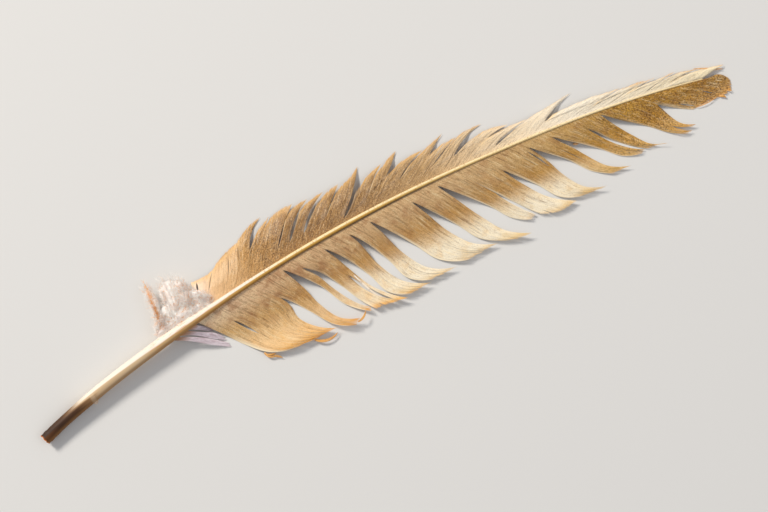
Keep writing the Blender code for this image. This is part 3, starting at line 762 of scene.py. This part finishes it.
def shaft_finish():
    nodes = Nodes("quill", 0.55, Specular_IOR_Level=0.3)
    x, lean = nodes.place()[1], nodes.value("lean")
    band, mix, product = nodes.band, nodes.mix, nodes.product
    turned = nodes.maths("MULTIPLY", nodes.value("turn"), 7.0)
    grain = nodes.noise(nodes.vector(nodes.maths("MULTIPLY", x, 0.16), turned), 1.0, 4.0)
    bars = nodes.noise(nodes.vector(nodes.maths("MULTIPLY", x, 1.6), lean), 1.0, 2.0)
    wobble = nodes.maths("MULTIPLY_ADD", nodes.maths("SUBTRACT", grain, 0.5), 6.0, x)
    upper_side = band(lean, 0.0, 0.45, 0.0, 8.0)
    share = nodes.maths("DIVIDE", nodes.maths("ADD", wobble, upper_side), LENGTH)
    body = nodes.ramp(
        share,
        [(0.0, (100, 58, 20)), (0.03, (58, 34, 16)), (0.06, (78, 48, 24)),
         (0.08, (142, 104, 66)), (0.092, (204, 172, 132)), (0.16, (212, 182, 142)),
         (0.2, (206, 168, 116)), (0.26, (204, 156, 92)), (0.34, (214, 162, 76)),
         (0.5, (226, 176, 84)), (0.64, (240, 204, 130)), (0.8, (244, 220, 168))],
    )
    # Painted highlight: a pale stripe along the quill's side that faces the key light, widening along
    # the shaft.
    widened = nodes.maths("ADD", lean, band(x, 18.0, 60.0, 0.0, 0.4))
    painted_highlight_stripe = product(band(wobble, 14.0, 26.0), band(widened, 0.42, 0.6))
    colour = mix(painted_highlight_stripe, body, (242, 230, 212))
    # Painted highlight: the half of the shaft that faces the key light, paler from 52 to 100 mm.
    upper = product(band(wobble, 52.0, 62.0), band(wobble, 100.0, 84.0), band(lean, -0.12, 0.12))
    colour = mix(upper, colour, (252, 236, 218))
    # Painted highlight: pale gold on the shaft's top and lit side from 100 mm on.
    ridge = product(band(lean, -0.1, 0.35), band(wobble, 100.0, 130.0), 0.7)
    colour = mix(ridge, colour, (250, 222, 152))
    # Painted shade: the shaft's side away from the key light is darker, up to about 250 mm.
    lower = product(band(lean, -0.3, -0.85), band(wobble, 250.0, 200.0), 0.6)
    colour = mix(lower, colour, (150, 100, 44))
    patches = product(band(grain, 0.55, 0.66), band(wobble, 50.0, 62.0), band(wobble, 98.0, 84.0), 0.8)
    colour = mix(patches, colour, (222, 142, 52))
    crossed = product(band(bars, 0.52, 0.68), band(wobble, 84.0, 110.0, 0.0, 0.55))
    colour = mix(crossed, colour, (176, 116, 42))
    joint = product(band(x, 25.4, 26.2), band(x, 28.2, 27.2), band(lean, 0.5, 0.1, 0.0, 0.2))
    colour = mix(joint, colour, (250, 226, 190))
    rim = band(nodes.value("rim"), 0.3, 1.0)
    return nodes.finish(mix(rim, colour, (218, 122, 44)))


SHAFT_SIDES = 32
SHAFT_RINGS = 300
BORE_DEPTH = 11.0
QUILL_WALL = 0.42
CUT_SLANT = 0.33
GROOVE = 0.32
BORE_END_INSET = 2.2  # at the bottom of the bore, which closes almost to a point
RAGGED_CUT, CUT_DENT = 0.16, 0.05
RACHIS_SQUARENESS = 0.16


def shaft_rings(rng):
    """Rings of the shaft from the bottom of its bore, out over the ragged cut and on to the tip."""
    end = SHAFT_LINE[-1][0]
    stations = np.concatenate(
        [np.linspace(0, 3, 12)[:-1], 3 + (end - 3) * np.linspace(0, 1, SHAFT_RINGS) ** 1.2]
    )
    inner = np.linspace(BORE_DEPTH, 0, 10)
    x = np.concatenate([inner, stations])
    inset = np.concatenate([np.full(len(inner), QUILL_WALL), np.zeros(len(stations))])
    inset[0] = BORE_END_INSET
    turn = 2 * math.pi * np.arange(SHAFT_SIDES) / SHAFT_SIDES
    cos, sin = np.cos(turn), np.sin(turn)
    squareness = 1 - RACHIS_SQUARENESS * smoothstep((x - RACHIS_STARTS) / 40)
    power_cos = np.sign(cos)[None] * np.abs(cos)[None] ** squareness[:, None]
    power_sin = np.sign(sin)[None] * np.abs(sin)[None] ** squareness[:, None]
    half_w = (shaft_width(x) / 2 - inset)[:, None]
    half_d = (shaft_depth(x) / 2 - inset)[:, None]
    across, up = half_w * power_cos, half_d * power_sin
    below = np.exp(-(((turn - 1.5 * math.pi) / 0.35) ** 2))[None]
    up = up + GROOVE * below * (smoothstep((x - 50) / 40) * np.minimum(1, half_w[:, 0] / 1.2))[:, None]
    ragged = np.convolve(np.tile(rng.standard_normal(SHAFT_SIDES), 3), np.hanning(5), "same")
    ragged = ragged[SHAFT_SIDES : 2 * SHAFT_SIDES]
    near_cut = smoothstep(1 - x / 8)[:, None]
    slant = CUT_SLANT * (SHAFT_WIDTH[0][1] / 2 - across) * smoothstep(1 - x / 14)[:, None]
    along = x[:, None] + slant + RAGGED_CUT * ragged[None] * near_cut
    dent = CUT_DENT * np.sin(2.2 * x)[:, None] * near_cut
    points = np.stack(
        [along, shaft_y(x)[:, None] + across * (1 - dent), shaft_height(x)[:, None] + up], axis=-1
    )
    rim = np.maximum(0, 1 - np.abs(np.arange(len(x)) - len(inner)) / 3.0)
    lean = across / np.maximum(half_w, 0.1)
    return points, turn, lean, rim


def make_shaft(finish, rng):
    points, turn, lean, rim = shaft_rings(rng)
    rings, sides = points.shape[:2]
    piece = strand_mesh("shaft_detail", points[None], {}, finish)
    mesh = piece.data
    for key, value in {
        "turn": np.broadcast_to(turn, (rings, sides)),
        "lean": lean,
        "rim": np.broadcast_to(rim[:, None], (rings, sides)),
    }.items():
        attribute = mesh.attributes.new(key, "FLOAT", "POINT")
        attribute.data.foreach_set("value", np.ascontiguousarray(value, np.float32).ravel())
    ride_for(piece, "shaft")


def tube_rings(centre, radius, sides=3):
    """Thin round strands along centre lines (strands, stations, 3)."""
    along = unit(np.gradient(centre, axis=1))
    helper = np.where(np.abs(along[..., 2:3]) > 0.8, [[[1.0, 0, 0]]], [[[0, 0, 1.0]]])
    out = unit(np.cross(along, helper))
    up = np.cross(out, along)
    turn = 2 * math.pi * np.arange(sides) / sides
    spoke = out[:, :, None] * np.cos(turn)[:, None] + up[:, :, None] * np.sin(turn)[:, None]
    return centre[:, :, None] + radius[..., None, None] * spoke


# Each tuft's bundles: where its edges leave the shaft, the points they pass and its outer edge, then
# how many plumes it has, how long their barbules are, the least and most height that they rise to,
# the height and thickness of its matted heart, and where across it the plumes are amber, if any.
DOWN_BUNDLES = {
    "near": [
        ((62.6, 67.4), [(64.2, 20.5), (65.2, 26), (64.2, 36)], [(68.2, 23), (68.2, 33)], [(66, 37.6)],
         46, 1.7, (4.6, 7.8), (4.2, 3.6), 0.36),
        ((61.6, 66), [(62.6, 17.8), (64.9, 22)], [(68.5, 19), (68.6, 25)], [(66.4, 25.6)],
         30, 1.1, (5.4, 7.6), (5.2, 3.0), None),
    ],
    "far": [
        ((69, 80.5), [(69.9, 23), (70.2, 33)], [(81.6, 22), (82, 30.5)], [(74.4, 37), (79.2, 34.6)],
         96, 1.9, (4.8, 8.2), (4.4, 4.4), None),
        ((63, 88), [(63.8, 17.5), (67, 24)], [(88.4, 19.5), (85.5, 25)], [(76, 29)],
         110, 1.1, (6.6, 7.9), (6.1, 1.7), None),
    ],
}
PLUME_STATIONS = 12
BARBULES_A_PLUME = 46
FELT_STATIONS, FELT_SIDES, FELT_REACH = 26, 24, 0.88
LUMP_HEIGHT, LUMP_SHIFT = 0.13, 0.3
BARBULE_STATIONS = 4
AMBER_SHARE = 0.05
AMBER_REACH = 0.09  # how far across the bundle amber plumes lie from their middle one
STEM_RADIUS, BARBULE_RADIUS = (0.07, 0.03), (0.05, 0.025)


def felt_rings(lobe, level, thickness):
    """The matted heart of a bundle: one lumpy pillow, flat on neither side."""
    half = np.linspace(0.04, 0.96, FELT_SIDES)
    over = np.concatenate([np.ones(FELT_SIDES), -np.ones(FELT_SIDES)])
    share = np.linspace(0, 1, FELT_STATIONS)[:, None]
    u = np.repeat(np.concatenate([half, half[::-1]])[None], FELT_STATIONS, axis=0)
    v = FELT_REACH * share + 0 * u
    points = lobe.at(u, v)
    x, y = points[..., 0], points[..., 1]
    lumps = np.sin(1.9 * x + 0.7 * y) * np.sin(1.4 * y - 0.8 * x)
    lumps = lumps + 0.5 * np.sin(4.1 * x) * np.sin(3.3 * y)
    full = np.sqrt(np.clip(1 - (2 * u - 1) ** 2, 0, 1)) * np.sqrt(np.clip(1.04 - share**3, 0, 1))
    full = full * smoothstep(0.1 + share / 0.3)
    root = points[..., 2]
    points[..., 2] = root + (level - root) * smoothstep(v / 0.4)
    points[..., 2] += over * full * (thickness / 2 + LUMP_HEIGHT * lumps)
    points[..., 1] += LUMP_SHIFT * lumps * share**2
    return points[None]


def plume_lines(lobe, plumes, levels, rng):
    """The plumes' centre lines, which wander out from the shaft, and where across it each starts."""
    u = np.repeat(rng.uniform(0, 1, plumes)[:, None], PLUME_STATIONS, axis=1)
    reach = 0.62 + 0.46 * rng.random(plumes)
    v = np.linspace(0, 1, PLUME_STATIONS)[None] * reach[:, None]
    centre = lobe.at(u, v)
    waves = np.sin(math.pi * v * rng.uniform(0.8, 2.4, (plumes, 1)))
    centre[..., 0] += rng.uniform(-1.6, 1.6, (plumes, 1)) * waves
    level = rng.uniform(*levels, (plumes, 1))
    centre[..., 2] += (level - centre[..., 2]) * smoothstep(v / 0.6)
    centre[..., 2] *= 1 - 0.3 * v**2
    return centre, u[:, 0]


def barbule_lines(centre, barbule, rng):
    """Centre lines of barbules at random places along each plume, bent to every side."""
    plumes, per = len(centre), BARBULES_A_PLUME
    share = rng.uniform(0.08, 1.0, (plumes, per))
    spot = share * (PLUME_STATIONS - 1)
    low = np.minimum(spot.astype(int), PLUME_STATIONS - 2)
    between = (spot - low)[..., None]
    rows = np.arange(plumes)[:, None]
    start = centre[rows, low] * (1 - between) + centre[rows, low + 1] * between
    ahead = unit(centre[rows, low + 1] - centre[rows, low])
    side = unit(np.cross(ahead, rng.standard_normal((plumes, per, 3))))
    heading = unit(ahead * rng.uniform(0.5, 1.5, (plumes, per, 1)) + side)
    length = barbule * rng.uniform(0.5, 1.5, (plumes, per, 1)) * (1.1 - 0.45 * share[..., None])
    bend = unit(rng.standard_normal((plumes, per, 3))) * 0.8
    steps = np.linspace(0, 1, BARBULE_STATIONS)[None, None, :, None]
    lines = start[:, :, None] + length[:, :, None] * (
        heading[:, :, None] * steps + bend[:, :, None] * steps**2
    )
    return lines.reshape(-1, BARBULE_STATIONS, 3)


def thinning_tubes(lines, radii):
    """Tubes along the lines, with the first radius at their start and the second at their end."""
    fade = np.linspace(0, 1, lines.shape[1])[None] + 0 * lines[..., 0]
    return tube_rings(lines, radii[0] + (radii[1] - radii[0]) * fade)


def make_down(name, bundles, finish, rng):
    """A tuft: in each bundle a matted heart, and plumes with fine barbules on every side."""
    node = f"down_tuft_{name}"
    stems, barbules, stem_tones, barbule_tones = [], [], [], []
    for part, bundle in enumerate(bundles, 1):
        roots, near, far, rounding, plumes, barbule, levels, felt, amber_at = bundle
        edges = edge_lines([(*roots, near, far, rounding)], 1)[0]
        lobe = Lobe(edges, rounding, 1, lambda x, y, v: root_height(x))
        matted = keep_over_floor(felt_rings(lobe, *felt))
        values = {"tone": np.full(matted.shape[1], 0.5)}
        ride_for(strand_mesh(f"down_{name}_felt_{part}", matted, values, finish), node)

        centre, starts = plume_lines(lobe, plumes, levels, rng)
        stems.append(thinning_tubes(centre, STEM_RADIUS))
        barbules.append(thinning_tubes(barbule_lines(centre, barbule, rng), BARBULE_RADIUS))
        tone = rng.random(plumes) * 0.88
        if amber_at is not None:
            tone = np.where(np.abs(starts - amber_at) < AMBER_REACH, 1.0, tone)
        stem_tones.append(np.repeat(tone[:, None], PLUME_STATIONS, 1))
        amber = rng.random((plumes, BARBULES_A_PLUME)) < AMBER_SHARE
        own = np.where(amber, 1.0, tone[:, None])
        barbule_tones.append(np.repeat(own.reshape(-1, 1), BARBULE_STATIONS, 1))
    for kind, rings, tones in (
        ("stems", stems, stem_tones), ("barbules", barbules, barbule_tones)
    ):
        rings, tones = keep_over_floor(np.concatenate(rings)), np.concatenate(tones)
        piece = strand_mesh(f"down_{name}_{kind}", rings, {"tone": tones}, finish)
        ride_for(piece, node)


# Barbs that have come loose: the line of each, how wide its bundle is, how many barbs it has, its
# height over the floor, and how pale it is.
LOOSE_BARBS = [
    ([(145.2, 1), (147.4, -5), (150.2, -11), (154, -15)], 0.7, 4, 1.6, 1.0),
    ([(138, -16.9), (140.5, -16.3), (142.8, -14.3)], 0.9, 4, 3.0, 0.1),
    ([(97.6, -10.6), (99, -13), (101.2, -14), (103.4, -15.9)], 1.1, 5, 1.2, 0.1),
    ([(98.2, -11.6), (99.9, -12.6), (102, -12.9)], 0.6, 3, 1.8, 0.1),
    ([(118.4, -15), (120.6, -16.9), (124, -18), (128.4, -17)], 1.1, 5, 1.6, 0.1),
    ([(114, -14.5), (119, -14.9), (124, -14.7)], 0.7, 3, 2.0, 0.3),
    ([(313.4, -1.9), (315, -2.6), (315.7, -3.7)], 0.9, 4, 0.9, 0.1),
    ([(317.6, -1.2), (318.6, -1.9), (319.3, -1.9)], 0.6, 3, 0.9, 0.1),
    ([(303, -1.6), (308, -2.1), (312.5, -1.7)], 0.5, 3, 0.8, 0.2),
    ([(250.6, 8.2), (251.8, 7.4), (253, 7.5)], 0.8, 3, 1.2, 0.2),
    ([(312, 9.2), (317, 9.6), (320.9, 8.9)], 0.5, 4, 0.9, 0.5),
    ([(313, 8.6), (317.4, 8.6), (319.8, 7.4)], 0.5, 3, 0.9, 0.2),
    ([(309, 13), (313, 11.2), (316.5, 9.6)], 0.5, 3, 0.9, 0.2),
    ([(25.4, 3.3), (26.1, 2.6), (27.4, 3.2)], 1.0, 4, 1.5, 0.8),
]
LOOSE_STATIONS = 14
LOOSE_THICKNESS = 0.14


def make_loose_barbs(finish, rng):
    shares = np.linspace(0, 1, LOOSE_STATIONS)
    rings, tones = [], []
    for line, width, count, level, pale in LOOSE_BARBS:
        middle = on_line(line, shares)
        ahead = unit(np.gradient(middle, axis=0))
        across = np.column_stack([-ahead[:, 1], ahead[:, 0]])
        spindle = np.sin(math.pi * (0.12 + 0.86 * shares)) ** 0.6
        for place in (np.arange(count) + 0.5) / count - 0.5:
            plan = middle + across * (place * width * spindle)[:, None]
            z = level + 0.25 * np.sin(math.pi * shares * rng.uniform(0.8, 1.8)) + 0.1 * place
            centre = np.column_stack([plan, z])
            out = np.column_stack([across, 0 * shares])
            half_w = out * (width / count * 0.62 * spindle)[:, None]
            half_t = np.array([0, 0, 1.0]) * (LOOSE_THICKNESS / 2 * spindle)[:, None]
            ring = [centre - half_w, centre + half_t, centre + half_w, centre - half_t]
            rings.append(np.stack(ring, axis=1))
            tones.append(np.full(LOOSE_STATIONS, np.clip(pale + rng.uniform(-0.1, 0.15), 0, 1)))
    rings = keep_over_floor(np.array(rings))
    piece = strand_mesh("loose_barbs", rings, {"tone": np.array(tones)}, finish)
    ride_for(piece)


# The camera looks straight down: the width that it sees, the plan point in its middle, and how far
# the chord is turned in the picture. The floor's half side is in metres.
FIELD_WIDTH = 318.0
LENS, SENSOR = 100.0, 36.0
VIEW_CENTRE = (159.84, 2.41)
CHORD_ANGLE = 27.0956
FLOOR_HALF = 3.0


def make_camera():
    camera = bpy.data.objects.new("camera", bpy.data.cameras.new("camera"))
    camera.data.lens, camera.data.sensor_width = LENS, SENSOR
    camera.data.clip_start, camera.data.clip_end = 0.01, 20
    x, y = VIEW_CENTRE[0] + PLAN_SHIFT[0], VIEW_CENTRE[1] + PLAN_SHIFT[1]
    camera.location = Vector((x, y, FIELD_WIDTH * LENS / SENSOR)) * MM
    camera.rotation_euler = (0, 0, -math.radians(CHORD_ANGLE))
    bpy.context.scene.collection.objects.link(camera)
    bpy.context.scene.camera = camera


def make_floor():
    mesh = bpy.data.meshes.new("floor")
    h = FLOOR_HALF
    mesh.from_pydata([(-h, -h, 0), (h, -h, 0), (h, h, 0), (-h, h, 0)], [], [(0, 1, 2, 3)])
    nodes = Nodes("floor", 0.8)
    nodes.shader.inputs["Base Color"].default_value = (*linear(228, 225, 220), 1)
    mesh.materials.append(nodes.material)
    floor = bpy.data.objects.new("floor", mesh)
    bpy.context.scene.collection.objects.link(floor)


def make_light(name, place, target, size, power, colour):
    lamp = bpy.data.lights.new(name, "AREA")
    lamp.shape, lamp.size, lamp.energy, lamp.color = "DISK", size, power, colour
    made = bpy.data.objects.new(name, lamp)
    made.location = place
    made.rotation_euler = (Vector(target) - Vector(place)).to_track_quat("-Z", "Y").to_euler()
    bpy.context.scene.collection.objects.link(made)


def make_studio():
    make_floor()
    make_light("key", (-0.7, 1.9, 1.6), (0, 0, 0), 0.6, 56, (1.0, 0.965, 0.91))
    make_light("fill", (0.9, -0.6, 1.6), (0, 0, 0), 1.2, 4, (0.95, 0.97, 1.0))
    world = bpy.data.worlds.new("studio")
    world.use_nodes = True
    world.node_tree.nodes["Background"].inputs["Color"].default_value = (0.9, 0.93, 1.0, 1)
    world.node_tree.nodes["Background"].inputs["Strength"].default_value = 0.4
    bpy.context.scene.world = world
    bpy.context.scene.view_settings.view_transform = "Standard"


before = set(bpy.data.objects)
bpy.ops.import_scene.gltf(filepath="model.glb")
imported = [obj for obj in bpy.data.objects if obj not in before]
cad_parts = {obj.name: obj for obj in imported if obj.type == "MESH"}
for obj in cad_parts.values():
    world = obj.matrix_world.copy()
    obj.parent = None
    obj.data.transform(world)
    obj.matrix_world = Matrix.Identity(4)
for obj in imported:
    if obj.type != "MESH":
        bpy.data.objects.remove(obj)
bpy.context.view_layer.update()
PLAN_SHIFT = plan_to_frame()
make_camera()
make_studio()

rng = np.random.default_rng(7)
make_vane("wide", WIDE_LOBES, -1, WIDE_MARGIN, wide_height, wide_vane(), rng)
make_vane("narrow", NARROW_LOBES, 1, NARROW_MARGIN, narrow_height, narrow_vane(), rng)
make_strands(pale_barbs(), rng)
down_finish = soft_down()
for name, bundles in DOWN_BUNDLES.items():
    make_down(name, bundles, down_finish, rng)
make_loose_barbs(loose_barbs(), rng)
make_shaft(shaft_finish(), rng)
